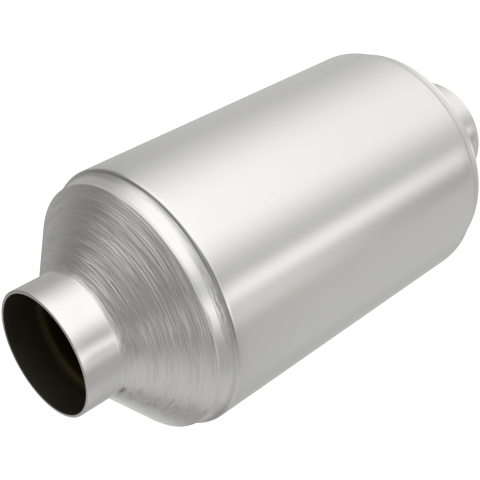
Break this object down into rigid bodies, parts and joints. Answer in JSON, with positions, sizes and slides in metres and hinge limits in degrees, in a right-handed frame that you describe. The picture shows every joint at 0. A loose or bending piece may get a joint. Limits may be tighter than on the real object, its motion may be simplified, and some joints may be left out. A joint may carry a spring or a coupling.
{
  "type": "catalytic converter",
  "caption": "Round universal catalytic converter: a stainless tube spun down to a cone and a straight neck at both ends, round ceramic honeycomb bricks held in fibre mats.",
  "frame": {"origin": "centre of the outlet rim, in the plane that the part stands on", "axes": "+Z along the gas axis, from the outlet neck up to the inlet neck; X and Y across it, the part being round about Z"},
  "size_m": [0.127, 0.127, 0.2764],
  "materials": {
    "spun_stainless": "satin",
    "coated_ceramic": "matte",
    "fibre_mat": "matte",
    "knitted_wire": "satin",
    "spacer_steel": "satin"
  },
  "bodies": {
    "root": {"spun_shell": "spun_stainless", "inlet_brick": "coated_ceramic", "outlet_brick": "coated_ceramic", "inlet_mat": "fibre_mat", "outlet_mat": "fibre_mat", "inlet_wire_seal": "knitted_wire", "outlet_wire_seal": "knitted_wire", "spacer_ring": "spacer_steel"}
  },
  "joints": []
}
